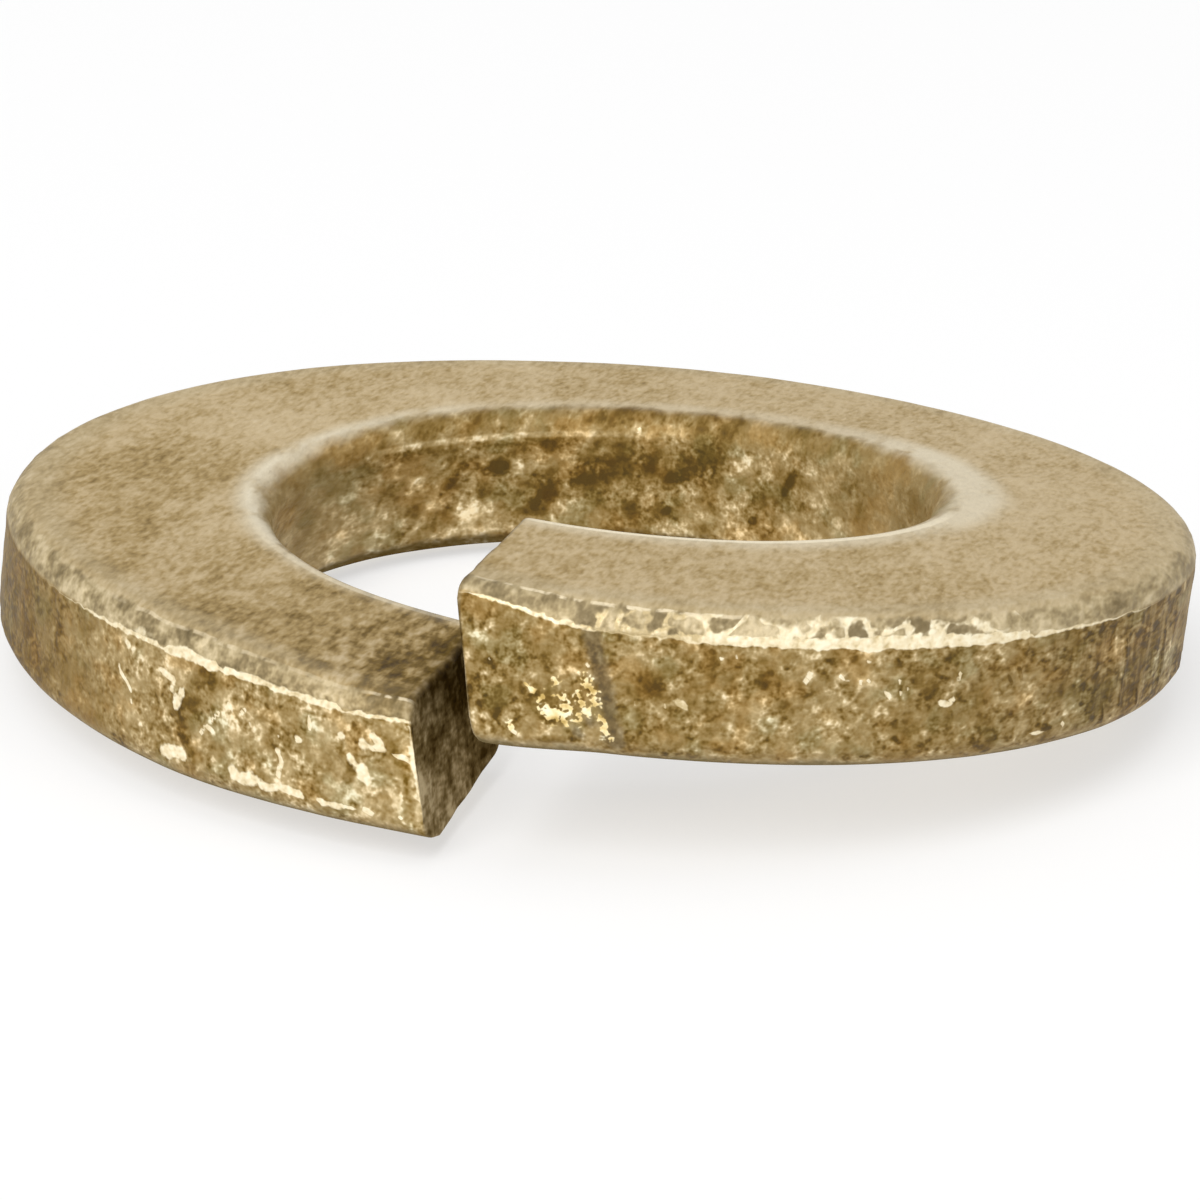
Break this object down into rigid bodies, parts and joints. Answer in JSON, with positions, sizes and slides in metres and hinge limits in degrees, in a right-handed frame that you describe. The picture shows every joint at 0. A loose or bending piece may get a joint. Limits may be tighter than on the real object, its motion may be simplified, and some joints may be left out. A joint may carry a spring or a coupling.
{
  "type": "spring lock washer",
  "caption": "Split spring lock washer for a 1/4 inch (6 mm) screw: one turn of keystone bronze wire, sheared across at a lean and sprung open.",
  "frame": {"origin": "on the bore axis, at the level of the washer's lowest point, where it seats on the joint", "axes": "+Z along the bore axis, from the joint towards the nut or screw head; the split faces -Y, with the low end on its -X side and the high end on its +X side"},
  "size_m": [0.0122, 0.0122, 0.0027],
  "materials": {
    "silicon_bronze": "dull, mottled and lightly worn, with bright edges"
  },
  "bodies": {
    "root": {"lock_washer": "silicon_bronze"}
  },
  "joints": []
}
